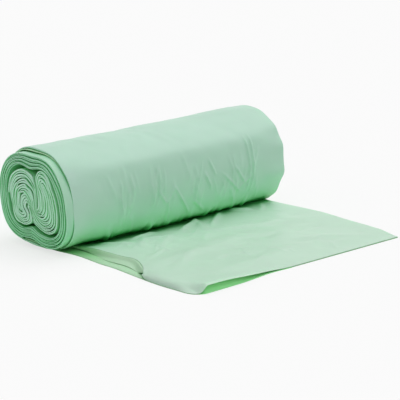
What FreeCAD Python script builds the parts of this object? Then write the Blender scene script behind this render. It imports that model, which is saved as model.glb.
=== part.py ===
import FreeCAD, Part
import math
import os

from FreeCAD import Vector

# A coreless roll of folded film bin bags. It lies on its side, and the last bag is unrolled in front of it.
# X runs along the roll, the unrolled bag points to -Y, Z is up and the surface under the part is Z = 0.
# The section of the roll is drawn in (u, v): u is to the right as seen from the near end (-X), v is up.
# The film leaves the collapsed heart of the roll, winds outwards anticlockwise and runs out along u.

SIZES = {
    # The web of folded film and how tightly it is wound
    "web_width": 240.0,
    "roll_wide": 91.5,
    "roll_high": 85.4,
    "film_stack": 1.75,
    "side_gap": 0.25,
    "crown_gap": 0.75,
    "ring_turns": 5,
    "heart_passes": 4,
    "heart_clearance": 0.5,
    # How far the turns have slipped along the roll, in the last turn and in all the turns before it
    "outer_slip": 7.0,
    "inner_slip": 3.0,
    # The unrolled bag: its plies, the air that is left in it and its open mouth
    "bag_reach": 186.0,
    "ply_thick": 0.6,
    "puff_high": 4.0,
    "puff_wide": 95.0,
    "corner_radius": 15.0,
    "mouth_deep": 16.0,
    "mouth_wide": 120.0,
    # The pleat along the near edge of the unrolled bag
    "pleat_start": 40.0,
    "pleat_long": 90.0,
    "pleat_set_back": 8.0,
    "pleat_deep": 15.0,
    "pleat_gap": 0.7,
}

# Superellipse powers of the roll's outline: nearly round above, flatter where it bears on the surface
ROUND_POWER = 2.15
FLAT_POWER = 2.6
# How far the underside would sag below the surface if nothing carried it
FLAT_SAG = 0.5
# The last turn is wound loosely: it swells to the roll's outline early in its way round
LAST_TURN_POWER = 3

# The ribs of the heart, in a unit disc that is stretched to the space inside the wound turns.
# The innermost fold runs up the left lobe, over its arch, down across the middle and up the right lobe.
# Each rib gives the outline on the fold's left side, the fold itself and the outline on its right side.
HEART_RIBS = [
    ((-0.96, -0.25), (-0.50, -0.33), (-0.080, -0.60)),
    ((-1.10, -0.02), (-0.58, -0.15), (-0.016, -0.44)),
    ((-1.00, 0.30), (-0.57, 0.03), (0.010, -0.395)),
    ((-0.82, 0.60), (-0.47, 0.15), (0.022, -0.380)),
    ((-0.50, 0.85), (-0.35, 0.19), (0.032, -0.375)),
    ((-0.20, 0.91), (-0.20, 0.12), (0.041, -0.375)),
    ((0.06, 0.81), (-0.08, 0.00), (0.050, -0.380)),
    ((0.155, 0.43), (0.03, -0.13), (0.060, -0.395)),
    ((0.190, -0.02), (0.13, -0.25), (0.076, -0.433)),
    ((0.212, -0.118), (0.25, -0.39), (0.108, -0.56)),
    ((0.228, -0.135), (0.41, -0.49), (0.250, -0.82)),
    ((0.244, -0.121), (0.58, -0.45), (0.560, -0.80)),
    ((0.256, -0.06), (0.70, -0.23), (0.880, -0.50)),
    ((0.270, 0.18), (0.69, 0.11), (1.015, 0.00)),
    ((0.285, 0.53), (0.60, 0.42), (0.880, 0.42)),
]
# How far the folds at the two ends of the heart reach past the first and the last rib
HEART_FOOT = (0.05, -0.58)
HEART_HEAD = (-0.10, 0.56)
# The place among the ribs of the left lobe at which the last pass leaves the heart for the wound turns
LEAVING_PLACE = 1.5

# Steps in which the curves are sampled
RING_STEP_DEG = 3
SAMPLES_PER_RIB = 4
CAP_SAMPLES = 10
# Three points in a row that bow out by less than STRAIGHT_BOW are joined by one straight edge. Where they
# bow by more than ROUND_BOW or turn by more than ROUND_BEND (in radians), each two are joined by their own.
STRAIGHT_BOW = 0.002
ROUND_BOW = 0.065
ROUND_BEND = 0.28
# Where the wound turns start and end, in degrees from u towards v
RING_START_DEG = 180.0
RING_FOOT_DEG = 270.0
# Where the wound film meets the unrolled bag, to the right of the roll's lowest line
JOIN_U = 12.0
# The puff of the unrolled bag rises over this stretch in front of the roll
PUFF_START = 20.0
PUFF_STRETCH = 60.0
# The free-form top of the bag is drawn through a square grid that reaches past the bag's outline
BAG_GRID = 12
BAG_GRID_MARGIN = 3.0
# The open mouth takes this share of the puff, and cutting shapes reach this far past what they cut
MOUTH_SHARE = 0.8
CUT_MARGIN = 1.0
PLEAT_WIDEST = 0.4


def make_sheet(doc):
    sheet = doc.addObject("Spreadsheet::Sheet", "Sizes")
    for row, (alias, value) in enumerate(SIZES.items(), start=1):
        sheet.set(f"A{row}", alias)
        sheet.set(f"B{row}", str(value))
        sheet.setAlias(f"B{row}", alias)
    doc.recompute()
    return sheet


def mix(first, second, share):
    return tuple(a + (b - a) * share for a, b in zip(first, second))


def smooth_step(value):
    value = min(1.0, max(0.0, value))
    return value * value * (3 - 2 * value)


def smooth_rib(place):
    """The three points of a rib at any place along the fold, on a smooth curve through the given ribs."""
    last = len(HEART_RIBS) - 1
    index = min(int(place), last - 1)
    t = place - index
    before = HEART_RIBS[max(index - 1, 0)]
    here = HEART_RIBS[index]
    there = HEART_RIBS[index + 1]
    after = HEART_RIBS[min(index + 2, last)]
    points = []
    for a, b, c, d in zip(before, here, there, after):
        points.append(tuple(
            b[k] + 0.5 * t * (c[k] - a[k] + t * (2 * a[k] - 5 * b[k] + 4 * c[k] - d[k]
                                                 + t * (3 * (b[k] - c[k]) + d[k] - a[k])))
            for k in (0, 1)
        ))
    return points


class RollSection:
    """The section of the wound film, as points (u, v) along its outer and its inner wall."""

    def __init__(self, sheet):
        self.half_wide = sheet.roll_wide / 2
        self.half_high = sheet.roll_high / 2
        self.stack = float(sheet.film_stack)
        self.side_gap = float(sheet.side_gap)
        self.crown_gap = float(sheet.crown_gap)
        self.passes = max(1, round(sheet.heart_passes))
        self.clearance = float(sheet.heart_clearance)
        self.end_deg = RING_FOOT_DEG + 360.0 * max(1, round(sheet.ring_turns))
        self.pass_width = 1.0 / (self.passes + 0.5)
        # Half the share of the heart's width that the film takes in one pass
        self.half_film = 0.5 * self.pass_width * self.stack / (self.stack + self.crown_gap)

    def outline_radius(self, degrees):
        c = math.cos(math.radians(degrees))
        s = math.sin(math.radians(degrees))
        power = ROUND_POWER if s > 0 else FLAT_POWER
        high = self.half_high if s > 0 else self.half_high + FLAT_SAG
        across = (abs(c) / self.half_wide) ** power
        upright = (abs(s) / high) ** power
        radius = (across + upright) ** (-1 / power)
        # The sagging underside is pressed flat by the surface that carries the roll
        return min(radius, self.half_high / -s) if s < 0 else radius

    def pitch(self, degrees):
        """The turns lie closer together at the sides of the roll than above and below its axis."""
        across = math.cos(math.radians(degrees)) ** 2
        return self.stack + self.side_gap * across + self.crown_gap * (1 - across)

    def polar(self, radius, degrees):
        a = math.radians(degrees)
        return (radius * math.cos(a), self.half_high + radius * math.sin(a))

    def ring_point(self, degrees, side):
        """A point of the wound turns: side is 1 on the outer wall of the film, -1 on the inner wall."""
        turns_left = (self.end_deg - degrees) / 360.0
        if turns_left < 1:
            turns_left = turns_left ** LAST_TURN_POWER
        wound_later = self.pitch(degrees) * turns_left
        radius = self.outline_radius(degrees) - wound_later - self.stack * (1 - side) / 2
        return self.polar(radius, degrees)

    def heart_point(self, x, y):
        """Stretches a point of the unit disc to the space inside the wound turns."""
        degrees = math.degrees(math.atan2(y, x))
        wound = self.pitch(degrees) * (self.end_deg - RING_START_DEG) / 360.0
        space = self.outline_radius(degrees) - wound - self.stack - self.clearance
        return self.polar(space * math.hypot(x, y), degrees)

    def rib_point(self, place, across):
        """Place counts ribs along the fold, and across runs from 1 on its left outline to -1 on its right."""
        left, fold, right = smooth_rib(place)
        return mix(fold, left if across > 0 else right, abs(across))

    def wall_place(self, number, side, forward):
        """Where a wall of a pass lies across the ribs: the outer wall is on the right of the film's way."""
        return number * self.pass_width + (-side if forward else side) * self.half_film

    def heart_pass(self, number, side, forward, first=0):
        """One run of the film along the fold, as many passes to its left as number says."""
        across = self.wall_place(number, side, forward)
        count = round((len(HEART_RIBS) - 1 - first) * SAMPLES_PER_RIB)
        places = [first + i / SAMPLES_PER_RIB for i in range(count + 1)]
        if not forward:
            places.reverse()
        return [self.heart_point(*self.rib_point(p, across)) for p in places]

    def heart_cap(self, from_pass, to_pass, side, at_head):
        """The film folds round an end of the heart, from one pass to the next one on the other side."""
        start = self.wall_place(from_pass, side, forward=at_head)
        end = self.wall_place(to_pass, side, forward=not at_head)
        reach = HEART_HEAD if at_head else HEART_FOOT
        rib = len(HEART_RIBS) - 1 if at_head else 0
        points = []
        for i in range(1, CAP_SAMPLES):
            a = math.pi * i / CAP_SAMPLES
            x, y = self.rib_point(rib, (start + end) / 2 + (start - end) / 2 * math.cos(a))
            out = abs(end - start) / 2 * math.sin(a)
            points.append(self.heart_point(x + reach[0] * out, y + reach[1] * out))
        return points

    def heart_wall(self, side):
        """The passes lie at 0, 1, -1, 2, -2 and so on, and the last one leaves the heart over its arch."""
        points = self.heart_pass(0, side, forward=True)
        for number in range(1, self.passes + 1):
            points += self.heart_cap(1 - number, number, side, at_head=True)
            last_one = number == self.passes
            points += self.heart_pass(number, side, forward=False, first=LEAVING_PLACE if last_one else 0)
            if not last_one:
                points += self.heart_cap(number, -number, side, at_head=False)
                points += self.heart_pass(-number, side, forward=True)
        return points + [self.ring_point(RING_START_DEG, side)]

    def ring_wall(self, side, start, end):
        steps = 2 * round((end - start) / RING_STEP_DEG / 2)
        return [self.ring_point(start + (end - start) * i / steps, side) for i in range(steps + 1)]

    def foot_wall(self, side):
        """The short flat run on the surface under the roll, up to the unrolled bag."""
        return [(JOIN_U, self.stack * (1 - side) / 2)]

    def turns_wall(self, side):
        """All the turns around the heart but the last."""
        return self.ring_wall(side, RING_START_DEG, self.end_deg - 360.0)

    def last_turn_wall(self, side):
        return self.ring_wall(side, self.end_deg - 360.0, self.end_deg) + self.foot_wall(side)


def smooth_edges(points):
    """Arcs, each through three points in a row, or straight edges where they are in line or sharply bent."""
    edges = []
    for i in range(0, len(points) - 1, 2):
        run = points[i:i + 3]
        chord = run[-1] - run[0]
        bow = (run[1] - run[0]).cross(chord).Length / chord.Length
        bend = (run[1] - run[0]).getAngle(run[-1] - run[1]) * 2
        if len(run) < 3 or bow < STRAIGHT_BOW:
            edges.append(Part.LineSegment(run[0], run[-1]).toShape())
        elif bow < ROUND_BOW and bend < ROUND_BEND:
            edges.append(Part.Arc(*run).toShape())
        else:
            edges.append(Part.LineSegment(run[0], run[1]).toShape())
            edges.append(Part.LineSegment(run[1], run[2]).toShape())
    return edges


def make_film(walls, slip, sheet):
    """Film between an outer and an inner wall, slipped towards the near end of the roll."""
    x = -sheet.web_width / 2 - slip
    outer, inner = [[Vector(x, -u, v) for u, v in wall] for wall in walls]
    inner.reverse()
    edges = smooth_edges(outer) + smooth_edges([outer[-1], inner[0]])
    edges += smooth_edges(inner) + smooth_edges([inner[-1], outer[0]])
    return Part.Face(Part.Wire(edges)).extrude(Vector(sheet.web_width, 0, 0))


def bag_height(sheet, dx, reach):
    """Height of the unrolled bag at a place dx from its near edge and reach from the roll's axis."""
    near = math.exp(-((dx / sheet.puff_wide) ** 2))
    rise = smooth_step((reach - PUFF_START) / PUFF_STRETCH)
    return 2 * sheet.ply_thick + sheet.puff_high * near * rise


def make_bag_block(sheet):
    """The unrolled bag before its mouth and pleat are opened: flat below, softly puffed above."""
    half = sheet.web_width / 2
    margin = BAG_GRID_MARGIN
    rows = []
    for i in range(BAG_GRID + 1):
        dx = -margin + (sheet.web_width + 2 * margin) * i / BAG_GRID
        row = []
        for j in range(BAG_GRID + 1):
            reach = JOIN_U - margin + (sheet.bag_reach - JOIN_U + 2 * margin) * j / BAG_GRID
            row.append(Vector(dx - half, -reach, bag_height(sheet, dx, reach)))
        rows.append(row)
    top = Part.BSplineSurface()
    top.interpolate(rows)
    tall = 2 * (2 * sheet.ply_thick + sheet.puff_high)
    under_top = top.toShape().extrude(Vector(0, 0, -tall))
    radius = sheet.corner_radius
    front = -sheet.bag_reach
    bend = math.sqrt(0.5)
    arc = Part.Arc(
        Vector(-half, front + radius, 0),
        Vector(-half + radius * (1 - bend), front + radius * (1 - bend), 0),
        Vector(-half + radius, front, 0),
    )
    outline = Part.Wire([
        Part.LineSegment(Vector(-half, -JOIN_U, 0), Vector(-half, front + radius, 0)).toShape(),
        arc.toShape(),
        Part.LineSegment(Vector(-half + radius, front, 0), Vector(half, front, 0)).toShape(),
        Part.LineSegment(Vector(half, front, 0), Vector(half, -JOIN_U, 0)).toShape(),
        Part.LineSegment(Vector(half, -JOIN_U, 0), Vector(-half, -JOIN_U, 0)).toShape(),
    ])
    prism = Part.Face(outline).extrude(Vector(0, 0, tall))
    return prism.common(under_top)


def make_prism(corners, low, high):
    base = [Vector(x, y, low) for x, y in corners]
    return Part.Face(Part.makePolygon(base + base[:1])).extrude(Vector(0, 0, high - low))


def make_mouth(sheet):
    """The air between the plies at the open front edge, highest beside the near corner."""
    side = -sheet.web_width / 2 + sheet.corner_radius
    front = -sheet.bag_reach
    over = 1.0 + CUT_MARGIN / sheet.mouth_deep
    low = sheet.ply_thick
    corner = Vector(side, front - CUT_MARGIN, low)
    peak = Vector(side, front - CUT_MARGIN, low + MOUTH_SHARE * sheet.puff_high * over)
    along = Vector(side + sheet.mouth_wide * over, front - CUT_MARGIN, low)
    deep = Vector(side, front + sheet.mouth_deep, low)
    faces = []
    for ring in ((corner, peak, along), (corner, along, deep), (corner, deep, peak), (peak, deep, along)):
        faces.append(Part.Face(Part.makePolygon(list(ring) + [ring[0]])))
    return Part.Solid(Part.Shell(faces))


def make_pleat(sheet):
    """The top ply is set back along the near edge, and air stands between the two plies below it."""
    edge = -sheet.web_width / 2
    start = -sheet.pleat_start
    end = start - sheet.pleat_long
    widest = start - PLEAT_WIDEST * sheet.pleat_long
    step_low = 2 * sheet.ply_thick + sheet.pleat_gap
    step_high = step_low + 2 * sheet.puff_high
    step = make_prism(
        [(edge - CUT_MARGIN, start), (edge + sheet.pleat_set_back, widest), (edge - CUT_MARGIN, end)],
        step_low, step_high,
    )
    slot = make_prism(
        [(edge - CUT_MARGIN, start), (edge + sheet.pleat_deep, widest), (edge - CUT_MARGIN, end)],
        sheet.ply_thick, sheet.ply_thick + sheet.pleat_gap,
    )
    return step.fuse(slot)


def add_feature(doc, label, shape):
    feature = doc.addObject("Part::Feature", label)
    feature.Shape = shape
    return feature


def make_bag_roll(doc, sheet):
    """One web of film: the wound turns and the unrolled bag, joined face to face."""
    section = RollSection(sheet)
    levels = [
        ("heart_film", section.heart_wall, sheet.outer_slip + sheet.inner_slip),
        ("turns_film", section.turns_wall, sheet.outer_slip),
        ("last_turn_film", section.last_turn_wall, 0.0),
    ]
    pieces = []
    for label, wall, slip in levels:
        pieces.append(add_feature(doc, label, make_film((wall(1), wall(-1)), slip, sheet)))
    block = add_feature(doc, "bag_block", make_bag_block(sheet))
    air = add_feature(doc, "bag_air", make_mouth(sheet).fuse(make_pleat(sheet)))
    bag = doc.addObject("Part::Cut", "unrolled_bag")
    bag.Base = block
    bag.Tool = air
    roll = doc.addObject("Part::MultiFuse", "bag_roll")
    roll.Shapes = pieces + [bag]
    roll.setExpression("Placement.Base.x", "(Sizes.outer_slip + Sizes.inner_slip) / 2")
    roll.setExpression("Placement.Base.y", "(Sizes.bag_reach - Sizes.roll_wide / 2) / 2")
    return roll


def main():
    doc = FreeCAD.newDocument("bin_bag_roll")
    sheet = make_sheet(doc)
    nodes = [make_bag_roll(doc, sheet)]
    doc.recompute()
    for item in doc.Objects:
        if "Invalid" in item.State or "Error" in item.State:
            raise RuntimeError(f"{item.Label} failed: {item.State}")
    for node in nodes:
        shape = node.Shape
        if shape.isNull() or not shape.isValid() or len(shape.Solids) != 1:
            raise RuntimeError(f"{node.Label} is not one valid solid")
    os.makedirs("parts", exist_ok=True)
    for node in nodes:
        node.Shape.exportStep(f"parts/{node.Label}.step")
        box = node.Shape.BoundBox
        print(node.Label, "volume", round(node.Shape.Volume), "box", [
            round(v, 2) for v in (box.XMin, box.XMax, box.YMin, box.YMax, box.ZMin, box.ZMax)
        ])


main()
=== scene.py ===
import math

import bmesh
import bpy
import numpy as np
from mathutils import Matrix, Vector


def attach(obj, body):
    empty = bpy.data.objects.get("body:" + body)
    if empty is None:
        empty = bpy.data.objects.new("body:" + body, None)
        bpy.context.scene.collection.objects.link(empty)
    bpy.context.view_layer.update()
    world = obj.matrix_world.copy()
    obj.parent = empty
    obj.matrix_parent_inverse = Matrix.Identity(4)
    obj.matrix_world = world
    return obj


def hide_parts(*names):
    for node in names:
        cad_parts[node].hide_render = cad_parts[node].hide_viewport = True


# A coreless roll of folded film bin bags, with its last bag unrolled in front of it.
# Lengths are in mm until a mesh is made. X runs along the roll, the unrolled bag points to -Y.
# The section of the roll is drawn in (u, v): u is to the right as seen from the near end (-X), v is up.

MM = 0.001
# The roll's axis lies above this y
AXIS_Y = 70.125
# The folded web: its width, and where its edges lie along x before the turns slip
WEB_WIDTH = 240.0
WEB_NEAR_X = -115.0
WEB_FAR_X = WEB_NEAR_X + WEB_WIDTH
# The section of the roll: half its size, the stack of film in a turn, the gaps between turns
HALF_WIDE = 45.75
HALF_HIGH = 42.7
STACK = 1.75
SIDE_GAP = 0.25
CROWN_GAP = 0.75
# Passes of the heart on either side of its middle one, and its distance from the innermost turn
PASSES = 4
CLEARANCE = 0.5
# Powers of the superellipse above and below the axis, and how far its foot is pressed flat
ROUND_POWER = 2.15
FLAT_POWER = 2.6
FLAT_SAG = 0.5
# How fast the last turn nears the outline
LAST_TURN_POWER = 3
# The turns run between these angles, from u towards v
RING_START_DEG = 180.0
RING_END_DEG = 2070.0
# A millimetre of the roll's girth is about this many degrees
DEG_PER_MM = 1.29

# The ribs of the heart in a unit disc: the outline left of the innermost fold, the fold itself,
# and the outline right of it
HEART_RIBS = [
    ((-0.96, -0.25), (-0.50, -0.33), (0.20, -0.72)),
    ((-1.10, -0.02), (-0.58, -0.15), (0.17, -0.53)),
    ((-1.00, 0.30), (-0.57, 0.03), (0.09, -0.46)),
    ((-0.82, 0.60), (-0.47, 0.15), (0.06, -0.42)),
    ((-0.50, 0.85), (-0.35, 0.19), (0.032, -0.375)),
    ((-0.16, 0.90), (-0.20, 0.12), (0.041, -0.375)),
    ((0.115, 0.80), (-0.08, 0.00), (0.050, -0.380)),
    ((0.225, 0.43), (0.03, -0.13), (0.060, -0.395)),
    ((0.218, -0.02), (0.13, -0.25), (0.076, -0.433)),
    ((0.225, -0.118), (0.25, -0.39), (0.033, -0.64)),
    ((0.234, -0.135), (0.41, -0.49), (0.06, -0.84)),
    ((0.244, -0.121), (0.58, -0.45), (0.58, -0.86)),
    ((0.256, -0.06), (0.70, -0.23), (0.94, -0.57)),
    ((0.270, 0.18), (0.69, 0.11), (1.08, -0.02)),
    ((0.285, 0.53), (0.60, 0.42), (0.96, 0.44)),
]
# Places where a pass of the heart is thin and leaves a pocket beside it: the pass and its place
# along the ribs
HEART_POCKETS = [
    (0, 2.5), (1, 5.0), (-1, 8.6), (2, 3.2), (2, 10.5),
    (-2, 11.6), (-3, 9.4), (3, 12.4), (3, 6.4), (-4, 4.5),
]
# Which way the turnings of the heart bulge at its two ends
HEART_FOOT = (0.05, -0.58)
HEART_HEAD = (-0.10, 0.56)
# The place along the ribs where the last pass leaves for the first turn
LEAVING_PLACE = 1.5
SAMPLES_PER_RIB = 4
CAP_SAMPLES = 12
RING_STEP_DEG = 2.0
# The gap between two turns, and the share of a wider one that the soft film fills
FILM_GAP = 0.3
GAP_FILL = 0.7


def smooth_step(value):
    """Runs from 0 to 1 as the value does, and stays there."""
    value = np.clip(value, 0.0, 1.0)
    return value * value * (3 - 2 * value)


def run_up(value, start, end):
    """Runs smoothly from 0 at start to 1 at end, which may lie on either side of it."""
    return smooth_step((value - start) / (end - start))


def bump(value):
    """1 at 0, and falling away on both sides within about 2."""
    return np.exp(-value * value)


def waves(seed, count, shortest, longest):
    """A smooth uneven function of two places in mm, mostly between -1 and 1."""
    random = np.random.default_rng(seed)
    way = random.uniform(0, 2 * np.pi, count)
    length = np.exp(random.uniform(np.log(shortest), np.log(longest), count))
    phase = random.uniform(0, 2 * np.pi, count)

    def value(a, b):
        total = 0
        for w, size, p in zip(way, length, phase):
            total = total + np.cos(2 * np.pi / size * (a * np.cos(w) + b * np.sin(w)) + p)
        return total / np.sqrt(2 * count)

    return value


def run_through(value, places, levels):
    """A line through the levels at the given places, with softened corners."""
    shifts = (-6.0, -3.0, 0.0, 3.0, 6.0)
    return sum(np.interp(value + shift, places, levels) for shift in shifts) / len(shifts)


# A crease fades out over this share of its length at both ends
FADE_SHARE = 0.3


def crease(a, b, start, end, width, height, skew=0.0):
    """A ridge or, with a negative height, a dent along a line, fading out at both ends."""
    way = np.subtract(end, start)
    length = math.hypot(*way)
    way = way / length
    da = a - start[0]
    db = b - start[1]
    along = (da * way[0] + db * way[1]) / length
    across = (da * way[1] - db * way[0]) / width
    fade = smooth_step(along / FADE_SHARE) * smooth_step((1 - along) / FADE_SHARE)
    return height * fade * bump(across) * (1 + skew * across)


def creases(a, b, lines):
    return sum(crease(a, b, *line) for line in lines)


def mix(first, second, share):
    """A point between two others."""
    return tuple(p + (q - p) * share for p, q in zip(first, second))


def smooth_rib(place):
    """The three points of a rib at a place between the listed ones."""
    last = len(HEART_RIBS) - 1
    index = min(int(place), last - 1)
    t = place - index
    before = HEART_RIBS[max(index - 1, 0)]
    here = HEART_RIBS[index]
    there = HEART_RIBS[index + 1]
    after = HEART_RIBS[min(index + 2, last)]
    points = []
    for a, b, c, d in zip(before, here, there, after):
        points.append(tuple(
            b[k] + 0.5 * t * (c[k] - a[k] + t * (2 * a[k] - 5 * b[k] + 4 * c[k] - d[k]
                                                 + t * (3 * (b[k] - c[k]) + d[k] - a[k])))
            for k in (0, 1)
        ))
    return points


def outline_radius(degrees):
    """The roll's outline: a superellipse with a flat foot."""
    c = math.cos(math.radians(degrees))
    s = math.sin(math.radians(degrees))
    power = ROUND_POWER if s > 0 else FLAT_POWER
    high = HALF_HIGH if s > 0 else HALF_HIGH + FLAT_SAG
    radius = ((abs(c) / HALF_WIDE) ** power + (abs(s) / high) ** power) ** (-1 / power)
    return min(radius, HALF_HIGH / -s) if s < 0 else radius


def pitch(degrees):
    """The distance from a turn to the next."""
    across = math.cos(math.radians(degrees)) ** 2
    return STACK + SIDE_GAP * across + CROWN_GAP * (1 - across)


def polar(radius, degrees):
    a = math.radians(degrees)
    return (radius * math.cos(a), HALF_HIGH + radius * math.sin(a))


def turns_left_at(degrees):
    """How many turns are wound over a place of the web."""
    return (RING_END_DEG - degrees) / 360.0


def facing(turn, middle):
    """Degrees between two directions."""
    return abs((turn - middle + 180.0) % 360.0 - 180.0)


def around(degrees, values):
    """A smooth run round the roll through values at even steps from 0 degrees."""
    count = len(values)
    place = (degrees % 360.0) / 360.0 * count
    index = int(place) % count
    t = place - int(place)
    a, b, c, d = (values[(index + k) % count] for k in (-1, 0, 1, 2))
    return b + 0.5 * t * (c - a + t * (2 * a - 5 * b + 4 * c - d + t * (3 * (b - c) + d - a)))


# How far the near end of the film stands out of the smooth section, in mm, every 30 degrees from u
# towards v: the inner turns, which have slipped out and sagged, the heart in them, and the last turn
INNER_FLARE = [2.2, -0.6, -0.4, -2.5, -0.1, 1.8, 1.8, 0.2, -1.9, -2.6, 3.0, 5.2]
HEART_FLARE = [0.5, -1.2, -0.4, -2.4, -1.2, -0.4, -0.4, -0.4, -1.5, -2.0, 2.0, 3.0]
OUTER_FLARE = [0.0, -0.6, -0.5, -1.3, 0.6, 0.8, 0.6, -0.3, -1.8, -1.0, 2.0, 3.4]


def near_flare(degrees, x, values, full_x, start_x):
    """How far the film stands out at x: nothing up to start_x, all of it from full_x on."""
    share = float(run_up(x, start_x, full_x))
    return share * around(degrees, values) if share > 0 else 0.0


# Where the inner turns sink in, and where they lie looser: direction and spread in degrees, depth in mm
NOTCHES = [(92.0, 24.0, 2.6), (268.0, 15.0, 1.6)]
SLACK_PLACES = [(185.0, 42.0, 3.5), (297.0, 20.0, 3.2)]


def notch_sag(degrees, turns_left):
    """The inner turns sink into the notches between the two lobes of the heart."""
    inner = float(run_up(turns_left, 1.6, 4.8))
    sunk = sum(deep * bump(facing(degrees, middle) / spread) for middle, spread, deep in NOTCHES)
    return inner * sunk + slack(degrees, turns_left)


def slack(degrees, turns_left):
    """The turns lie looser behind the heart and under its front lobe."""
    turn = degrees % 360.0
    inner = float(run_up(turns_left, 0.8, 5.0))
    return inner * sum(deep * bump((turn - middle) / spread) for middle, spread, deep in SLACK_PLACES)


def ring_point(degrees, side):
    """A point of the wound film in (u, v): side is 1 on the outer face of the stack, -1 on the inner."""
    turns_left = turns_left_at(degrees)
    whole = math.floor(turns_left)
    loose = whole + (turns_left - whole) ** LAST_TURN_POWER
    sag = notch_sag(degrees, turns_left)
    thick = pitch(degrees) - FILM_GAP + GAP_FILL * (notch_sag(degrees, turns_left + 1) - sag)
    radius = outline_radius(degrees) - pitch(degrees) * loose - thick * (1 - side) / 2
    return polar(radius - sag, degrees)


# The drift of the heart's film along u and along v
HEART_DRIFT_U = waves(61, 9, 15, 34)
HEART_DRIFT_V = waves(62, 9, 15, 34)
# How far the folded film lies out of its even course, in mm, and how much room it gains in front
UNEVENNESS = 1.3
FRONT_SWELL = 1.3


def heart_point(x, y):
    """Places a point of the unit disc in the room that the turns leave."""
    degrees = math.degrees(math.atan2(y, x))
    wound = pitch(degrees) * (RING_END_DEG - RING_START_DEG) / 360.0
    space = outline_radius(degrees) - wound - STACK - CLEARANCE
    space -= slack(degrees, turns_left_at(RING_START_DEG))
    # The heart fills the roll in front
    space += FRONT_SWELL * bump(degrees / 45)
    u, v = polar(space * math.hypot(x, y), degrees)
    # The folded film lies unevenly inside
    uneven = UNEVENNESS * float(run_up(math.hypot(x, y), 1.0, 0.65))
    return (u + uneven * float(HEART_DRIFT_U(u, v)), v + uneven * float(HEART_DRIFT_V(u, v)))


# A pass of the heart takes this share of the way from the fold to the outline, and film fills most of it
PASS_WIDTH = 1.0 / (PASSES + 0.5)
FILM_SHARE = 0.86
HALF_FILM = 0.5 * PASS_WIDTH * FILM_SHARE
# A pocket takes this share of a pass's thickness, and fades out over about this many ribs
POCKET_SHARE = 0.5
POCKET_RIBS = 0.4


def rib_point(place, across):
    """A point of the unit disc: across runs from -1 on the right outline to 1 on the left one."""
    left, fold, right = smooth_rib(place)
    return mix(fold, left if across > 0 else right, abs(across))


def wall_place(number, side, forward):
    """Where a face of a pass lies across the ribs."""
    return number * PASS_WIDTH + (-side if forward else side) * HALF_FILM


def pocket(number, place):
    """The share of its thickness that a pass loses at a place."""
    spots = [spot for other, spot in HEART_POCKETS if other == number]
    return sum(POCKET_SHARE * float(bump((place - spot) / POCKET_RIBS)) for spot in spots)


def heart_pass(number, side, forward, first=0):
    """One face of a pass of the heart, from the rib at first to the last one, or back."""
    middle = number * PASS_WIDTH
    across = wall_place(number, side, forward) - middle
    count = round((len(HEART_RIBS) - 1 - first) * SAMPLES_PER_RIB)
    places = [first + i / SAMPLES_PER_RIB for i in range(count + 1)]
    if not forward:
        places.reverse()
    return [heart_point(*rib_point(p, middle + across * (1 - pocket(number, p)))) for p in places]


def heart_cap(from_pass, to_pass, side, at_head):
    """One face of the turning between two passes."""
    start = wall_place(from_pass, side, forward=at_head)
    end = wall_place(to_pass, side, forward=not at_head)
    reach = HEART_HEAD if at_head else HEART_FOOT
    rib = len(HEART_RIBS) - 1 if at_head else 0
    points = []
    for i in range(1, CAP_SAMPLES):
        a = math.pi * i / CAP_SAMPLES
        x, y = rib_point(rib, (start + end) / 2 + (start - end) / 2 * math.cos(a))
        out = abs(end - start) / 2 * math.sin(a)
        points.append(heart_point(x + reach[0] * out, y + reach[1] * out))
    return points


def heart_wall(side):
    """One face of the heart, from its middle pass out to the first turn."""
    points = heart_pass(0, side, forward=True)
    for number in range(1, PASSES + 1):
        points += heart_cap(1 - number, number, side, at_head=True)
        last_one = number == PASSES
        points += heart_pass(number, side, forward=False, first=LEAVING_PLACE if last_one else 0)
        if not last_one:
            points += heart_cap(number, -number, side, at_head=False)
            points += heart_pass(-number, side, forward=True)
    return points + [ring_point(RING_START_DEG, side)]


def ring_degrees(start, end, step):
    count = round((end - start) / step)
    return [start + (end - start) * i / count for i in range(count + 1)]


def make_mesh(name, vertices, faces):
    """A smooth object from vertices in mm."""
    mesh = bpy.data.meshes.new(name)
    mesh.from_pydata((np.asarray(vertices) * MM).tolist(), [], faces)
    work = bmesh.new()
    work.from_mesh(mesh)
    bmesh.ops.recalc_face_normals(work, faces=work.faces)
    work.to_mesh(mesh)
    work.free()
    for polygon in mesh.polygons:
        polygon.use_smooth = True
    piece = bpy.data.objects.new(name, mesh)
    bpy.context.scene.collection.objects.link(piece)
    return piece


def loop_faces(rows, columns, base=0):
    """Faces of a tube whose closed rings follow one another, closed at both ends."""
    faces = []
    for i in range(rows - 1):
        for j in range(columns):
            k = (j + 1) % columns
            here = base + i * columns
            faces.append((here + j, here + k, here + columns + k, here + columns + j))
    faces.append(tuple(range(base, base + columns))[::-1])
    last = base + (rows - 1) * columns
    faces.append(tuple(range(last, last + columns)))
    return faces


# How far the near edge of the outermost turn lies out of the web's own place, how much further the next
# turn does, how much more the innermost one, and how much less the end of the last turn
LEAST_SLIP = 3.5
NEXT_SLIP = 7.5
INNER_SLIP = 1.6
FOOT_SLIP = 3.0


def near_slip(turns_left):
    """How far the film's near edge has slipped out of the roll, by the turns that are wound over it."""
    step = float(run_up(turns_left, 0.90, 1.02))
    inner = float(run_up(turns_left, 1.0, 5.5))
    foot = 1 - float(run_up(turns_left, 0.0, 0.14))
    return LEAST_SLIP + NEXT_SLIP * step + INNER_SLIP * inner - FOOT_SLIP * foot


# Each stack of folded film is drawn as two leaves. Their faces lie between -1, the stack's inner wall,
# and 1, its outer wall
INNER_LEAF = (-1.0, -0.09)
OUTER_LEAF = (0.09, 1.0)
# Columns of a leaf across the web, as distances from its two edges
EDGE_COLUMNS = [0.9, 2.5, 5.0, 9.0, 15.0, 24.0, 34.0]
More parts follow.
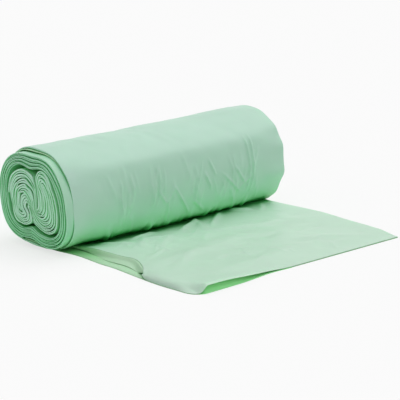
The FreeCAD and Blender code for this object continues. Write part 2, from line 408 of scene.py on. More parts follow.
# Steps around its rounded edges
ROUND_STEPS = 4
# Out of sight, the inner turns draw back by this much, so that nothing shows through the outermost film.
# This starts at the first distance from an edge, and is full at the second one
WAIST = 3.2
WAIST_START = 14.0
WAIST_END = 34.0
# No leaf reaches lower than this, in mm above the surface
LEAF_LOWEST = 0.03
# What lies nearer to the roll's axis than this stands out less at the near end
FLARE_RADIUS = 34.0
# The outermost film is one turn long, with a short overlap
SKIN_START_DEG = RING_END_DEG - 382.0
# The near end stands out fully up to the first x, and not at all from the second one on
INNER_FLARE_X = (-124.0, -102.0)
OUTER_FLARE_X = (-118.0, -92.0)


def inner_flare(degrees, x):
    return near_flare(degrees, x, INNER_FLARE, *INNER_FLARE_X)


def heart_flare(degrees, x):
    return near_flare(degrees, x, HEART_FLARE, *INNER_FLARE_X)


def outer_flare(degrees, x):
    return near_flare(degrees, x, OUTER_FLARE, *OUTER_FLARE_X)


def leaf_ring(outer, inner, near, far, waist, flare):
    """One closed ring around a leaf: outer wall, rounded far edge, inner wall, rounded near edge."""
    outer = np.array(outer)
    inner = np.array(inner)
    centre = (outer + inner) / 2
    half = (outer - inner) / 2
    thick = math.hypot(*half)
    inwards = -half / thick
    middle = (near + far) / 2
    columns = [near + d for d in EDGE_COLUMNS] + [middle] + [far - d for d in reversed(EDGE_COLUMNS)]
    ring = []

    def add(x, share):
        depth = min(x - near, far - x)
        drawn_back = waist * float(run_up(depth, WAIST_START, WAIST_END))
        u, v = centre + half * share + inwards * drawn_back
        degrees = math.degrees(math.atan2(v - HALF_HIGH, u))
        out = flare(degrees, x) * min(1.0, math.hypot(u, v - HALF_HIGH) / FLARE_RADIUS)
        u += out * math.cos(math.radians(degrees))
        v += out * math.sin(math.radians(degrees))
        ring.append((x, AXIS_Y - u, max(v, LEAF_LOWEST)))

    for x in columns:
        add(x, 1)
    for k in range(ROUND_STEPS + 1):
        a = math.pi * k / ROUND_STEPS
        add(far - thick + thick * math.sin(a), math.cos(a))
    for x in reversed(columns):
        add(x, -1)
    for k in range(ROUND_STEPS + 1):
        a = math.pi * k / ROUND_STEPS
        add(near + thick - thick * math.sin(a), -math.cos(a))
    return ring


def add_leaf(vertices, faces, walls, edges, ragged, waist, flare):
    """Adds a leaf of film along a path.

    walls are its outer and its inner points, edges says how far its near edge has slipped at each.
    """
    outer, inner = walls
    path = 0.0
    base = len(vertices)
    for i in range(len(edges)):
        if i:
            path += math.dist(outer[i], outer[i - 1])
        near = WEB_NEAR_X - edges[i] + 0.6 * float(ragged(path, 0.0))
        far = near + WEB_WIDTH + 0.5 * float(ragged(path, 500.0))
        ring = leaf_ring(outer[i], inner[i], near, far, waist, flare)
        vertices += ring
    faces += loop_faces(len(edges), len(ring), base)


def make_heart():
    vertices = []
    faces = []
    for leaf, shift, seed in ((INNER_LEAF, -0.4, 11), (OUTER_LEAF, 0.3, 12)):
        walls = (heart_wall(leaf[1]), heart_wall(leaf[0]))
        slips = [near_slip(turns_left_at(RING_START_DEG)) + shift] * len(walls[0])
        add_leaf(vertices, faces, walls, slips, waves(seed, 9, 14, 60), 0.0, heart_flare)
    return make_mesh("heart_film", vertices, faces)


def ring_walls(leaf, degrees):
    low, high = leaf
    return ([ring_point(d, high) for d in degrees], [ring_point(d, low) for d in degrees])


def make_turns():
    vertices = []
    faces = []
    degrees = ring_degrees(RING_START_DEG, SKIN_START_DEG, RING_STEP_DEG)
    for leaf, shift, seed in ((INNER_LEAF, -0.4, 13), (OUTER_LEAF, 0.3, 14)):
        walls = ring_walls(leaf, degrees)
        slips = [near_slip(turns_left_at(d)) + shift for d in degrees]
        add_leaf(vertices, faces, walls, slips, waves(seed, 9, 18, 120), WAIST, inner_flare)
    return make_mesh("wound_turns", vertices, faces)


# Directions in which the inner leaf of the last turn parts from the outermost film, and how widely
CROWN_DEG = 100.0
FOOT_DEG = 250.0
PARTING_SPREAD = 34.0


def make_last_inner_leaf():
    """The inner leaf of the last turn, which looks out from under the outermost film at the crown."""
    vertices = []
    faces = []
    degrees = ring_degrees(SKIN_START_DEG + 4.0, RING_END_DEG, RING_STEP_DEG)
    slips = []
    for d in degrees:
        crown = float(bump(facing(d, CROWN_DEG) / PARTING_SPREAD))
        slips.append(near_slip(turns_left_at(d)) - 0.6 + 2.8 * crown)

    def flare(turn, x):
        # At the crown and at the foot it lies between the outermost film and the turns
        away = min(facing(turn, CROWN_DEG), facing(turn, FOOT_DEG))
        share = 0.32 * float(bump(away / PARTING_SPREAD))
        return outer_flare(turn, x) * (1 - share) + inner_flare(turn, x) * share

    add_leaf(vertices, faces, ring_walls(INNER_LEAF, degrees), slips, waves(15, 9, 30, 120), WAIST, flare)
    return make_mesh("last_turn_inner_leaf", vertices, faces)


# The outermost turn is drawn in girth (mm from the lowest line in front, upwards) and x.
# Sharp streaks along its front, from (girth, x) to (girth, x)
FRONT_STREAKS = [
    ((86, -67), (56, -67)), ((90, -23.5), (60, -25.5)), ((68, -26.5), (54, -16)), ((70, -6), (53, -17.5)),
    ((62, -16), (32, -10)), ((70, -9), (52, 4)), ((60, -2), (38, 16)), ((87, 28), (58, 16)),
    ((68, 18), (46, 17)), ((54, 14), (38, 34)), ((76, 27), (57, 37)), ((87, 33), (67, 42)),
    ((73, 46), (48, 75)), ((50, 66), (64, 87)), ((76, 63), (56, 79)),
    ((100, 80), (64, 84)), ((74, 83.5), (48, 81.5)), ((102, 86), (57, 88.5)), ((66, 88.5), (46, 85)),
]
STREAK_WIDTH = 1.15
STREAK_HEIGHT = 1.2
STREAK_SKEW = 0.4


def skin_lines():
    """Creases of the outermost film: start and end as (girth, x), width, height, skew."""
    lines = [(start, end, STREAK_WIDTH, STREAK_HEIGHT, STREAK_SKEW) for start, end in FRONT_STREAKS]
    random = np.random.default_rng(5)
    # A feathered group of fainter slanting creases between them
    for _ in range(58):
        girth = random.uniform(24, 72)
        x = random.uniform(-75, 100)
        long = random.uniform(14, 32)
        lean = random.uniform(-0.4, 0.45)
        lines.append((
            (girth, x), (girth + long, x + lean * long), random.uniform(1.2, 2.4),
            random.uniform(0.3, 0.8), random.uniform(-0.8, 0.8),
        ))
    # Short puckers where the film comes up from under the roll
    for _ in range(26):
        x = random.uniform(-70, 112)
        lean = random.uniform(-0.5, 0.5)
        lines.append((
            (14.0, x), (random.uniform(34, 50), x + lean * 26), random.uniform(1.2, 2.2),
            random.uniform(0.4, 1.0), random.uniform(-0.5, 0.5),
        ))
    # Sparse dents elsewhere
    for _ in range(40):
        girth = random.uniform(18, 160)
        x = random.uniform(-100, 110)
        long = random.uniform(18, 50)
        lean = random.uniform(-0.8, 0.8)
        lines.append((
            (girth, x), (girth + long, x + lean * long), random.uniform(3.0, 7.0),
            random.choice([-1, 1]) * random.uniform(0.12, 0.34), random.uniform(-1, 1),
        ))
    return lines


# The blunt corners of the far rim: direction in degrees, and how far it stands out
FAR_CORNERS = [(40.0, 1.6), (18.0, 2.0), (2.0, 0.9), (348.0, 3.0), (320.0, 1.0), (299.0, 2.4)]
CORNER_SPREAD = 9.0
# The rim is dented between them, from the first x on and fully from the second one on
FAR_RIM_X = (96.0, 122.0)
FAR_DENT = 0.3
# Soft swellings: direction in degrees, spread in degrees, height in mm. They are the rise towards the far
# end, the shoulder along the front, and the foot of the front, which bulges over the bag
FAR_SWELL = (88.0, 34.0, 1.8)
SHOULDER = (33.0, 12.0, 1.9)
FRONT_FOOT = (309.0, 20.0, 1.0)
# How many times its height the foot bulges more half way along the roll, and how widely
FOOT_MORE = 2.2
FOOT_SPREAD_X = 75.0
# Towards the foot, nothing stands out up to the first girth, and all of it from the second one on
BEARING_FRONT = (6.0, 20.0)
BEARING_BACK = (262.0, 248.0)


def swelling(turn, middle, spread, high):
    """How far a soft swelling stands out in a direction."""
    return high * bump((turn - middle) / spread)


def make_skin_shape():
    """Gives the function of how far the outermost film stands out of the smooth roll, in mm."""
    wide = waves(21, 10, 45, 120)
    small = waves(22, 12, 14, 34)
    lines = skin_lines()

    def shape(degrees, x, outside):
        girth = (degrees - (RING_END_DEG - 360.0)) / DEG_PER_MM
        out = 0.45 * wide(girth, x) + 0.12 * small(girth, x) + creases(girth, x, lines)
        # The inside is drawn without the creases, and lies deep enough for them
        hidden = run_up(x, -108.0, -96.0) * run_up(x, 114.0, 102.0)
        out = np.where(outside, out, -1.0 * hidden)
        turn = degrees % 360.0
        far = run_up(x, *FAR_RIM_X)
        for corner, high in FAR_CORNERS:
            out = out + far * high * bump(facing(turn, corner) / CORNER_SPREAD)
        out = out - FAR_DENT * far
        out = out + swelling(turn, *FAR_SWELL) * run_up(x, 40.0, 100.0)
        out = out + swelling(turn, *SHOULDER) * run_up(x, -112.0, -82.0) * (1 - far)
        foot = (1.0 + FOOT_MORE * bump(x / FOOT_SPREAD_X)) * run_up(x, -118.0, -88.0)
        out = out + foot * swelling(turn, *FRONT_FOOT)
        full_x, start_x = OUTER_FLARE_X
        out = out + outer_flare(degrees, full_x) * run_up(x, start_x, full_x)
        # Nothing stands out where the roll bears on the surface
        bearing = run_up(girth, *BEARING_FRONT) * run_up(girth, *BEARING_BACK)
        return out * np.where(x < -96.0, 1.0, bearing)

    return shape


SKIN_STEP_DEG = 1.6
SKIN_LOWEST = 0.05
# Columns across the web on the outer and on the inner face
OUTSIDE_COLUMNS = 320
INSIDE_COLUMNS = 12


def make_skin():
    """The outermost film, from under the front of the roll all the way round to its foot."""
    degrees = np.array(ring_degrees(SKIN_START_DEG, RING_END_DEG, SKIN_STEP_DEG))
    low, high = OUTER_LEAF
    shares = np.concatenate([np.linspace(0, 1, OUTSIDE_COLUMNS), np.linspace(1, 0, INSIDE_COLUMNS)])
    sides = np.concatenate([np.full(OUTSIDE_COLUMNS, high), np.full(INSIDE_COLUMNS, low)])
    rows = []
    shape = make_skin_shape()
    ragged = waves(31, 8, 25, 120)
    for d in degrees:
        left = turns_left_at(d)
        near = WEB_NEAR_X - near_slip(left) + 0.5 * float(ragged(d / DEG_PER_MM, 0.0))
        far = WEB_FAR_X - near_slip(left) + LEAST_SLIP + 0.6 * float(ragged(d / DEG_PER_MM, 300.0))
        x = near + (far - near) * shares
        out = shape(d, x, sides == high)
        wall = {s: np.array(ring_point(d, s)) for s in (high, low)}
        way = np.array([math.cos(math.radians(d)), math.sin(math.radians(d))])
        ring = []
        for k in range(len(x)):
            place = wall[sides[k]] + way * out[k]
            ring.append((x[k], AXIS_Y - place[0], max(place[1], SKIN_LOWEST)))
        rows.append(ring)
    vertices = [p for ring in rows for p in ring]
    return make_mesh("outer_turn", vertices, loop_faces(len(rows), len(shares)))


# The unrolled bag is drawn in (x, u), between the roll's foot and the front edge
BAG_START_U = 2.0
BAG_FRONT_U = 185.0
# Radius of its near corner, and the thickness of its upper film
CORNER = 13.0
PLY = 0.5
# Undersides of the bottom film and of the ply inside the mouth
BOTTOM_LOWEST = 0.05
MOUTH_LOWEST = 0.06
# Height of the upper film where it is folded down to the bottom film
FOLDED_HIGH = 0.7
# The rounding of its edges reaches this far inwards, and leaves this share of its thickness
EDGE_REACH = 5.0
EDGE_SHARE = 0.2

# The edges of the bag, as places and where the edge lies there: the near and the far edge along u,
# the front edge along x
NEAR_EDGE = (
    (20.0, 35.0, 45.0, 78.0, 88.0, 145.0, 160.0, 184.0),
    (-116.8, -113.8, -112.4, -114.1, -112.9, -116.2, -116.2, -114.5),
)
FAR_EDGE = (
    (20.0, 41.0, 68.0, 94.0, 122.0, 147.0, 186.0),
    (122.0, 122.4, 125.6, 128.0, 125.4, 124.6, 122.0),
)
FRONT_EDGE = ((-100.0, -62.0, -29.0, -8.0, 120.0), (187.5, 187.0, 183.4, 184.6, 186.2))
# In the same way, how far the upper film and the ply below it lie back from the near edge, along u
UPPER_SET_BACK = (
    (8.0, 24.0, 52.0, 80.0, 94.0, 107.0, 123.0, 132.0),
    (6.0, 14.0, 13.0, 18.5, 19.5, 13.5, 4.0, 0.0),
)
MIDDLE_SET_BACK = ((20.0, 38.0, 70.0, 98.0, 126.0), (13.0, 11.0, 7.4, 9.0, 3.0))
# The drawn width of that ply, its thickness and its clearance from the upper film
MIDDLE_WIDE = 26.0
MIDDLE_PLY = 0.35
PLY_CLEARANCE = 0.06


def near_edge(u):
    """The near edge of the unrolled bag comes out from under the roll and bulges towards its front."""
    return run_through(u, *NEAR_EDGE)


def far_edge(u):
    """The far edge of the unrolled bag, which bulges outwards half way."""
    return run_through(u, *FAR_EDGE)


def front_edge(x):
    """The front edge of the bag, rounded at the near corner."""
    front = run_through(x, *FRONT_EDGE)
    dx = np.clip(x - near_edge(BAG_FRONT_U), 0.0, CORNER)
    return front - CORNER + np.sqrt(CORNER ** 2 - (CORNER - dx) ** 2)


def set_back(u):
    """How far the upper film lies back from the near edge, where the pleat is open."""
    return run_through(u, *UPPER_SET_BACK)


def middle_inset(u):
    """How far the edge of the ply below it lies back."""
    return run_through(u, *MIDDLE_SET_BACK)


def mouth_open(x):
    """The mouth is widest open beside the near corner, and closes along the front edge."""
    return run_up(x, -110.0, -101.0) * (1 - run_up(x, -92.0, -6.0))


# Creases of the unrolled bag: start and end as (x, u), width, height, skew.
# Small tents fan out from the contact line
BAG_TENTS = [
    ((34.0, 30.0), (-10.0, 52.0), 3.0, 2.6, 0.6),
    ((30.0, 30.0), (12.0, 68.0), 4.0, 1.6, -0.5),
    ((64.0, 26.0), (22.0, 58.0), 3.0, 2.0, 0.5),
    ((68.0, 26.0), (92.0, 44.0), 3.0, 1.8, -0.5),
    ((-20.0, 36.0), (-62.0, 46.0), 2.6, 1.8, 0.4),
    ((-38.0, 38.0), (-72.0, 76.0), 3.5, 1.2, 0.4),
    ((112.0, 28.0), (92.0, 52.0), 2.6, 1.8, 0.5),
    ((116.0, 28.0), (121.0, 56.0), 2.6, 1.6, -0.5),
    ((-86.0, 26.0), (-64.0, 66.0), 4.0, 1.4, 0.3),
]
# Long soft folds lie across it
BAG_FOLDS = [
    ((-110.0, 118.0), (60.0, 96.0), 9.0, 1.5, 0.5),
    ((-90.0, 164.0), (110.0, 138.0), 9.0, 1.2, -0.5),
    ((10.0, 60.0), (118.0, 108.0), 6.0, 1.3, 0.5),
    ((-60.0, 84.0), (-14.0, 52.0), 4.0, 1.2, 0.5),
    ((-30.0, 100.0), (14.0, 64.0), 5.0, 1.0, -0.5),
    ((-96.0, 140.0), (-30.0, 100.0), 5.0, 1.0, 0.5),
    ((40.0, 130.0), (104.0, 168.0), 6.0, 0.8, 0.5),
]


def bag_lines():
    """The tents and folds of the unrolled bag, and finer ones at random between them."""
    lines = BAG_TENTS + BAG_FOLDS
    random = np.random.default_rng(9)
    for _ in range(22):
        x = random.uniform(-90, 100)
        u = random.uniform(48, 168)
        long = random.uniform(20, 60)
        way = random.uniform(-0.5, 0.5)
        lines.append((
            (x, u), (x + long * math.cos(way), u + long * math.sin(way)), random.uniform(2.5, 6.0),
            random.choice([-1, 1]) * random.uniform(0.3, 0.75), random.uniform(-1, 1),
        ))
    # Fine sharp creases, most of them near the roll
    for k in range(34):
        x = random.uniform(-80, 104)
        u = random.uniform(40, 70) if k % 3 else random.uniform(70, 160)
        long = random.uniform(12, 34)
        way = random.uniform(0.3, 2.8)
        lines.append((
            (x, u), (x + long * math.cos(way), u + long * math.sin(way)), random.uniform(1.2, 2.0),
            random.uniform(0.25, 0.6), random.uniform(-0.6, 0.6),
        ))
    return lines


# The upper film rises out of the contact line from this u on, and within this reach, which is shorter
# towards the far end
RISE_U = 21.0
RISE_REACH = 38.0
FAR_RISE_REACH = 28.0
# Height of the lip of the mouth where it is closed, and how much higher it is where it is open
LIP_CLOSED = 0.95
LIP_OPEN = 6.45
# The upper film lies no lower than this, except where it is folded down
TOP_LOWEST = 0.85


def bag_top(x, u):
    """Height of the unrolled bag's upper film."""
    dx = x - WEB_NEAR_X
    reach = RISE_REACH + (FAR_RISE_REACH - RISE_REACH) * run_up(x, 30.0, 90.0)
    rise = smooth_step((u - RISE_U) / reach)
    # Away from the roll it stands higher towards the near end, and is uneven
    high = 2.1 + 3.3 * bump(dx / 95.0)
    high = high + 0.4 * waves(41, 10, 50, 130)(x, u) + 0.14 * waves(42, 12, 14, 30)(x, u)
    # It lies low along the roll, except beside the open pleat and towards the far end
    low = 0.9 + 3.2 * bump(dx / 22.0) + 1.8 * run_up(x, 10.0, 70.0)
    high = low + (high - low) * rise + creases(x, u, bag_lines())
    # It evens out at the far edge, and meets the lip of the mouth at the front edge
    high = 3.0 + (high - 3.0) * smooth_step((far_edge(u) - x) / 30.0)
    lip = LIP_CLOSED + LIP_OPEN * mouth_open(x)
    inside = smooth_step((front_edge(x) - u) / 24.0)
    curl = 0.9 * mouth_open(x) * (1 - smooth_step((front_edge(x) - u) / 3.0))
    return np.maximum(lip + (high - lip) * inside - curl, TOP_LOWEST)


def sheet_piece(name, x, u, top, bottom):
    """A closed thin piece over a grid: x, u, top and bottom are arrays of the same shape."""
    rows, columns = x.shape
    count = rows * columns
    upper = np.stack([x, AXIS_Y - u, top], axis=-1).reshape(count, 3)
    lower = np.stack([x, AXIS_Y - u, bottom], axis=-1).reshape(count, 3)
    faces = []
    for i in range(rows - 1):
        for j in range(columns - 1):
            here = i * columns + j
            quad = (here, here + 1, here + columns + 1, here + columns)
            faces.append(quad)
            faces.append(tuple(count + v for v in reversed(quad)))
    rim = list(range(columns))
    rim += [i * columns + columns - 1 for i in range(1, rows)]
    rim += [(rows - 1) * columns + j for j in range(columns - 2, -1, -1)]
    rim += [i * columns for i in range(rows - 2, 0, -1)]
    for here, there in zip(rim, rim[1:] + rim[:1]):
        faces.append((there, here, count + here, count + there))
    return make_mesh(name, np.concatenate([upper, lower]), faces)


def bag_grid(columns, rows, opened):
    """A grid over the bag: x, u and the distance from the sheet's near edge.

    opened is 1 for a sheet that is set back along the open pleat, and 0 for one that isn't.
    """
    across = np.linspace(0, 1, columns)
    # More columns along the near edge
    across = 0.55 * across + 0.45 * across ** 2.2
    a, b = np.meshgrid(across, np.linspace(0, 1, rows))
    u = BAG_START_U + (BAG_FRONT_U - BAG_START_U) * b
    edge = near_edge(u) + opened * set_back(u)
    x = edge + (far_edge(u) - edge) * a
    u = BAG_START_U + (front_edge(x) - BAG_START_U) * b
    return x, u, x - edge


def rounded(distance, reach):
    """Rises from 0 at an edge to 1 at the reach, like a rounded fold."""
    near = np.clip(distance / reach, 0.0, 1.0)
    return np.sqrt(1 - (1 - near) ** 2)


def folded_down(x, u, inwards):
    """The share of its height that the upper film keeps, which folds down at its closed edges."""
    closed = 1 - smooth_step(set_back(u) / 6.0)
    corner = 1 - run_up(x, -112.0, -103.0)
    shape = 1 - closed * (1 - rounded(inwards, 9.0))
    return shape * (1 - corner * (1 - rounded(front_edge(x) - u, 9.0)))


def ply_at(share):
    """The upper film's thickness, from its least at share 0 to the full one at 1."""
    return PLY * (EDGE_SHARE + (1 - EDGE_SHARE) * share)


def make_bag_top():
    """The upper film, which is set back where the pleat is open."""
    x, u, inwards = bag_grid(columns=215, rows=180, opened=1.0)
    shape = folded_down(x, u, inwards)
    top = FOLDED_HIGH + (bag_top(x, u) - FOLDED_HIGH) * shape
    thick = np.minimum(rounded(inwards, EDGE_REACH), rounded(front_edge(x) - u, EDGE_REACH))
    return sheet_piece("bag_upper_film", x, u, top, top - ply_at(thick * shape))


def make_bag_middle():
    """The ply between the upper film and the bottom film, seen in the open pleat."""
    a, u = np.meshgrid(np.linspace(0, 1, 40), np.linspace(8.0, 130.0, 110))
    inwards = a * MIDDLE_WIDE
    x = near_edge(u) + middle_inset(u) + inwards
    # Its edge lifts off the bottom film along the last part of the pleat
    start = 1.05 + 0.6 * run_through(u, (60.0, 80.0, 100.0, 114.0), (0.0, 1.0, 1.0, 0.0))
    shown = np.maximum(set_back(u) - middle_inset(u), 1.0)
    # It rises to the underside of the upper film at that film's edge
    beyond = x - near_edge(u) - set_back(u)
    over = FOLDED_HIGH + (bag_top(x, u) - FOLDED_HIGH) * folded_down(x, u, beyond)
    under = np.maximum(over - ply_at(rounded(beyond, EDGE_REACH)) - PLY_CLEARANCE, start)
    rise = 0.35 * smooth_step(inwards / shown) + 0.65 * smooth_step((inwards - shown + 4.5) / 4.5)
    high = start + (under - start) * rise
    edge = 1 - rounded(inwards, 1.2)
    return sheet_piece("bag_middle_film", x, u, high - 0.3 * edge, high - MIDDLE_PLY)


def make_bag_bottom():
    """The film that lies on the surface, seen beside the open pleat."""
    x, u, inwards = bag_grid(columns=90, rows=80, opened=0.0)
    open_side = smooth_step(set_back(u) / 6.0) * smooth_step((front_edge(x) - u) / 30.0)
    top = 0.45 + 0.5 * open_side * rounded(inwards, 3.5)
    return sheet_piece("bag_lower_film", x, u, top, np.full_like(x, BOTTOM_LOWEST))


def make_mouth_film():
    """The folded ply inside the open mouth, which rises from the bottom film to the upper film."""
    x, inwards = np.meshgrid(np.linspace(-109.0, -6.0, 110), np.linspace(-0.4, 12.0, 26))
    u = front_edge(x) - inwards
    room = bag_top(x, u) - PLY - 0.1
    ends = run_up(x, -109.0, -103.0) * (1 - run_up(x, -16.0, -6.0))
    high = 0.5 + (room - 0.5) * run_up(inwards, -0.4, 5.6) * ends
    return sheet_piece("bag_mouth_film", x, u, high, np.full_like(x, MOUTH_LOWEST))


# How far the painted shades of the film reach, in metres: widely, between layers, and under the roll's
# foot
WIDE_SHADE = 0.06
NARROW_GAP = 0.006
FOOT_GAP = 0.010


def new_material(name):
    """An empty node material, its nodes and its links."""
    material = bpy.data.materials.new(name)
    material.use_nodes = True
    tree = material.node_tree
    tree.nodes.clear()
    return material, tree.nodes, tree.links


def add_ramp(nodes, stops):
    """A colour ramp through stops of (position, colour)."""
    ramp = nodes.new("ShaderNodeValToRGB")
    elements = ramp.color_ramp.elements
    elements[0].position, elements[0].color = stops[0][0], (*stops[0][1], 1)
    elements[1].position, elements[1].color = stops[-1][0], (*stops[-1][1], 1)
    for position, color in stops[1:-1]:
        elements.new(position).color = (*color, 1)
    return ramp


def make_film_material(name, wide_shade_stops, narrow_shade_stops, gap, clear=0.0):
    """Film with painted shade in its colour: pale in the open and greener where layers shade each other.

    The ramps paint its colours by how open a place is: widely, and within gap metres.
    clear is its translucent share.
    """
    material, nodes, links = new_material(name)
    output = nodes.new("ShaderNodeOutputMaterial")
    shader = nodes.new("ShaderNodeBsdfPrincipled")
    shader.inputs["Roughness"].default_value = 0.42
    shader.inputs["IOR"].default_value = 1.45
    shader.inputs["Specular IOR Level"].default_value = 0.4
    shader.inputs["Subsurface Weight"].default_value = 0.3
    shader.inputs["Subsurface Radius"].default_value = (0.6, 1.0, 0.7)
    shader.inputs["Subsurface Scale"].default_value = 0.002

    # The wide painted shade turns the colour greener, the painted shade of narrow gaps makes it dark
    shades = []
    for distance, stops in ((WIDE_SHADE, wide_shade_stops), (gap, narrow_shade_stops)):
        shade = nodes.new("ShaderNodeAmbientOcclusion")
        shade.samples = 12
        shade.inputs["Distance"].default_value = distance
        ramp = add_ramp(nodes, stops)
        links.new(shade.outputs["AO"], ramp.inputs["Fac"])
        shades.append(ramp)
    both = nodes.new("ShaderNodeMix")
    both.data_type = "RGBA"
    both.blend_type = "MULTIPLY"
    both.inputs["Factor"].default_value = 1.0
    links.new(shades[0].outputs["Color"], both.inputs["A"])
    links.new(shades[1].outputs["Color"], both.inputs["B"])

    # Faint clouds in the film's thickness
    place = nodes.new("ShaderNodeTexCoord")
    clouds = nodes.new("ShaderNodeTexNoise")
    clouds.inputs["Scale"].default_value = 22
    clouds.inputs["Detail"].default_value = 4
    links.new(place.outputs["Object"], clouds.inputs["Vector"])
    tint = nodes.new("ShaderNodeHueSaturation")
    span = nodes.new("ShaderNodeMapRange")
    span.inputs["To Min"].default_value = 0.94
    span.inputs["To Max"].default_value = 1.06
    links.new(clouds.outputs["Fac"], span.inputs["Value"])
    links.new(span.outputs["Result"], tint.inputs["Value"])
    links.new(both.outputs["Result"], tint.inputs["Color"])
    links.new(tint.outputs["Color"], shader.inputs["Base Color"])

    # Fine crinkles that are too small to model
    crinkle = nodes.new("ShaderNodeTexNoise")
    crinkle.inputs["Scale"].default_value = 260
    crinkle.inputs["Detail"].default_value = 3
    crinkle.inputs["Distortion"].default_value = 0.6
    links.new(place.outputs["Object"], crinkle.inputs["Vector"])
    relief = nodes.new("ShaderNodeBump")
    relief.inputs["Strength"].default_value = 0.1
    relief.inputs["Distance"].default_value = 0.0006
    links.new(crinkle.outputs["Fac"], relief.inputs["Height"])
    links.new(relief.outputs["Normal"], shader.inputs["Normal"])

    through = nodes.new("ShaderNodeBsdfTranslucent")
    through.inputs["Color"].default_value = (0.35, 0.95, 0.40, 1)
    blend = nodes.new("ShaderNodeMixShader")
    blend.inputs["Fac"].default_value = clear
    links.new(shader.outputs["BSDF"], blend.inputs[1])
    links.new(through.outputs["BSDF"], blend.inputs[2])
    links.new(blend.outputs["Shader"], output.inputs["Surface"])
    return material


def seen_share(nodes, links):
    """1 for what the camera sees, directly, mirrored or through something, and 0 for falling light."""
    path = nodes.new("ShaderNodeLightPath")
    share = path.outputs["Is Camera Ray"]
    for ray in ("Is Glossy Ray", "Is Transmission Ray"):
        either = nodes.new("ShaderNodeMath")
        either.operation = "MAXIMUM"
        links.new(share, either.inputs[0])
        links.new(path.outputs[ray], either.inputs[1])
        share = either.outputs["Value"]
    return share


# The floor lies just under the object
FLOOR_HALF = 6000.0
FLOOR_Z = -0.02


def make_floor():
    material, nodes, links = new_material("floor_white")
    output = nodes.new("ShaderNodeOutputMaterial")
    # It looks white, and keeps a part of the object's shadow
    matt = nodes.new("ShaderNodeBsdfDiffuse")
    matt.inputs["Color"].default_value = (0.95, 0.95, 0.95, 1)
    glow = nodes.new("ShaderNodeEmission")
    glow.inputs["Color"].default_value = (1, 1, 1, 1)
    blend = nodes.new("ShaderNodeMixShader")
    share = nodes.new("ShaderNodeMapRange")
    share.inputs["To Max"].default_value = 0.7
    links.new(seen_share(nodes, links), share.inputs["Value"])
    links.new(share.outputs["Result"], blend.inputs["Fac"])
    links.new(matt.outputs["BSDF"], blend.inputs[1])
    links.new(glow.outputs["Emission"], blend.inputs[2])
    links.new(blend.outputs["Shader"], output.inputs["Surface"])
    sides = ((-1, -1), (1, -1), (1, 1), (-1, 1))
    corners = [(sx * FLOOR_HALF, sy * FLOOR_HALF, FLOOR_Z) for sx, sy in sides]
    floor = make_mesh("floor", corners, [(0, 1, 2, 3)])
    floor.data.materials.append(material)


def make_world():
    """Even soft light, with a white that only the camera, mirrors and glass see."""
    world = bpy.data.worlds.new("studio")
    world.use_nodes = True
    bpy.context.scene.world = world
    nodes = world.node_tree.nodes
    links = world.node_tree.links
    nodes.clear()
    output = nodes.new("ShaderNodeOutputWorld")
    light = nodes.new("ShaderNodeBackground")
    light.inputs["Color"].default_value = (1.0, 1.0, 1.0, 1)
    light.inputs["Strength"].default_value = 0.5
    seen = nodes.new("ShaderNodeBackground")
    seen.inputs["Color"].default_value = (1, 1, 1, 1)
    seen.inputs["Strength"].default_value = 1.0
    blend = nodes.new("ShaderNodeMixShader")
    links.new(seen_share(nodes, links), blend.inputs["Fac"])
    links.new(light.outputs["Background"], blend.inputs[1])
    links.new(seen.outputs["Background"], blend.inputs[2])
    links.new(blend.outputs["Shader"], output.inputs["Surface"])


def add_sun(name, direction, strength, angle_deg):
    """A soft distant lamp that shines along the direction."""
    data = bpy.data.lights.new(name, "SUN")
    data.energy = strength
    data.angle = math.radians(angle_deg)
    lamp = bpy.data.objects.new(name, data)
    lamp.rotation_mode = "QUATERNION"
    lamp.rotation_quaternion = Vector(direction).to_track_quat("-Z", "Y")
    bpy.context.scene.collection.objects.link(lamp)


# The camera: its target in mm, the way back from it to the camera, their distance in metres,
# and its lens and sensor in mm
CAMERA_TARGET = (7.608, 9.314, 29.601)
CAMERA_WAY = (-0.6571, -0.7085, 0.2572)
CAMERA_DISTANCE = 1.45295
CAMERA_LENS = 152.36
CAMERA_SENSOR = 36.0


def make_camera():
    data = bpy.data.cameras.new("camera")
    data.lens = CAMERA_LENS
    data.sensor_width = CAMERA_SENSOR
    camera = bpy.data.objects.new("camera", data)
    bpy.context.scene.collection.objects.link(camera)
    back = Vector(CAMERA_WAY).normalized()
    camera.location = Vector(CAMERA_TARGET) * MM + back * CAMERA_DISTANCE
    camera.rotation_mode = "QUATERNION"
    camera.rotation_quaternion = (-back).to_track_quat("-Z", "Y")
    bpy.context.scene.camera = camera


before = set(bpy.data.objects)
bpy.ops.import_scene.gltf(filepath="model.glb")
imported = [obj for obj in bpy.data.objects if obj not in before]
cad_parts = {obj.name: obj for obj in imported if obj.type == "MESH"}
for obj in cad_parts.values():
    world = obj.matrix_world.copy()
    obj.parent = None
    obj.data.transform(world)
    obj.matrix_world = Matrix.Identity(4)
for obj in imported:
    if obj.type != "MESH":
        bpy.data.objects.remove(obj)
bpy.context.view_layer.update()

scene = bpy.context.scene
scene.view_settings.view_transform = "Standard"
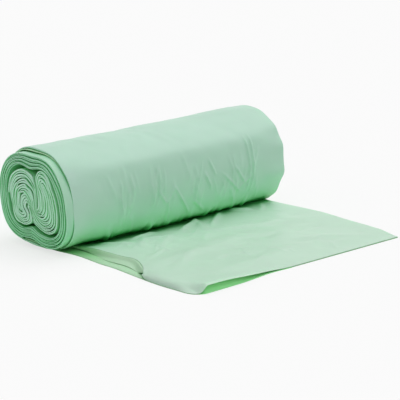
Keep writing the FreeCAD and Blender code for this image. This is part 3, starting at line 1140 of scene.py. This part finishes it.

# Painted shade and light: colours by how open a place is, from deep shade to the open, in a lighter or
# darker copy of the one film's colour for each part
SKIN_SHADE_STOPS = [
    (0.0, (0.22, 0.66, 0.28)),
    (0.3, (0.36, 0.80, 0.45)),
    (0.56, (0.44, 0.79, 0.56)),
    (0.95, (0.48, 0.73, 0.59)),
]
HEART_SHADE_STOPS = [
    (0.0, (0.28, 0.77, 0.35)),
    (0.35, (0.47, 0.93, 0.58)),
    (0.7, (0.55, 0.91, 0.68)),
    (0.95, (0.57, 0.87, 0.69)),
]
TURN_SHADE_STOPS = [
    (0.0, (0.20, 0.69, 0.28)),
    (0.35, (0.33, 0.84, 0.45)),
    (0.7, (0.38, 0.77, 0.51)),
    (0.95, (0.43, 0.72, 0.53)),
]
# The bag's copy is painted lighter in half shade near the roll than in the open
BAG_LIGHT_AND_SHADE_STOPS = [
    (0.0, (0.22, 0.66, 0.28)),
    (0.2, (0.44, 0.84, 0.54)),
    (0.5, (0.60, 0.90, 0.70)),
    (0.95, (0.535, 0.785, 0.60)),
]
THIN_SHADE_STOPS = [
    (0.0, (0.18, 0.58, 0.20)),
    (0.45, (0.33, 0.70, 0.34)),
    (0.75, (0.48, 0.79, 0.49)),
    (0.9, (0.52, 0.80, 0.54)),
]
# Painted light: the ply inside the mouth is a brighter, greener copy of the film, for light that comes
# through the upper film
MOUTH_PAINTED_LIGHT_STOPS = [(0.0, (0.30, 0.92, 0.30)), (0.8, (0.34, 0.94, 0.36))]
# Painted shades of narrow gaps, which multiply them
GAP_SHADE_STOPS = [
    (0.0, (0.10, 0.48, 0.14)),
    (0.25, (0.52, 0.82, 0.56)),
    (0.6, (0.90, 0.97, 0.92)),
    (0.9, (1.0, 1.0, 1.0)),
]
FOOT_SHADE_STOPS = [
    (0.0, (0.05, 0.34, 0.09)),
    (0.32, (0.34, 0.70, 0.42)),
    (0.56, (0.86, 0.95, 0.88)),
    (0.74, (1.0, 1.0, 1.0)),
]
BARE_GAP_SHADE_STOPS = [(0.0, (0.8, 0.98, 0.8)), (0.4, (1.0, 1.0, 1.0))]

# Lit and shaded copies of the one film, which differ in their painted shade
heart_film = make_film_material("film_heart", HEART_SHADE_STOPS, GAP_SHADE_STOPS, NARROW_GAP)
turn_film = make_film_material("film_turns", TURN_SHADE_STOPS, GAP_SHADE_STOPS, NARROW_GAP)
skin_film = make_film_material("film_outer_turn", SKIN_SHADE_STOPS, FOOT_SHADE_STOPS, FOOT_GAP)
bag_film = make_film_material("film_bag", BAG_LIGHT_AND_SHADE_STOPS, FOOT_SHADE_STOPS, FOOT_GAP)
thin_film = make_film_material("film_one_ply", THIN_SHADE_STOPS, BARE_GAP_SHADE_STOPS, NARROW_GAP, clear=0.05)
mouth_lit_film = make_film_material("film_seen_inside_painted_light", MOUTH_PAINTED_LIGHT_STOPS, BARE_GAP_SHADE_STOPS, NARROW_GAP)
pieces = [
    (make_heart(), heart_film),
    (make_turns(), turn_film),
    (make_last_inner_leaf(), thin_film),
    (make_skin(), skin_film),
    (make_bag_top(), bag_film),
    (make_bag_middle(), thin_film),
    (make_bag_bottom(), thin_film),
    (make_mouth_film(), mouth_lit_film),
]
for piece, finish in pieces:
    piece.data.materials.append(finish)
    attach(piece, "root")
    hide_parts("bag_roll")

make_floor()
make_world()
add_sun("key", direction=(-0.4, 0.0, -1.0), strength=1.42, angle_deg=65)
make_camera()
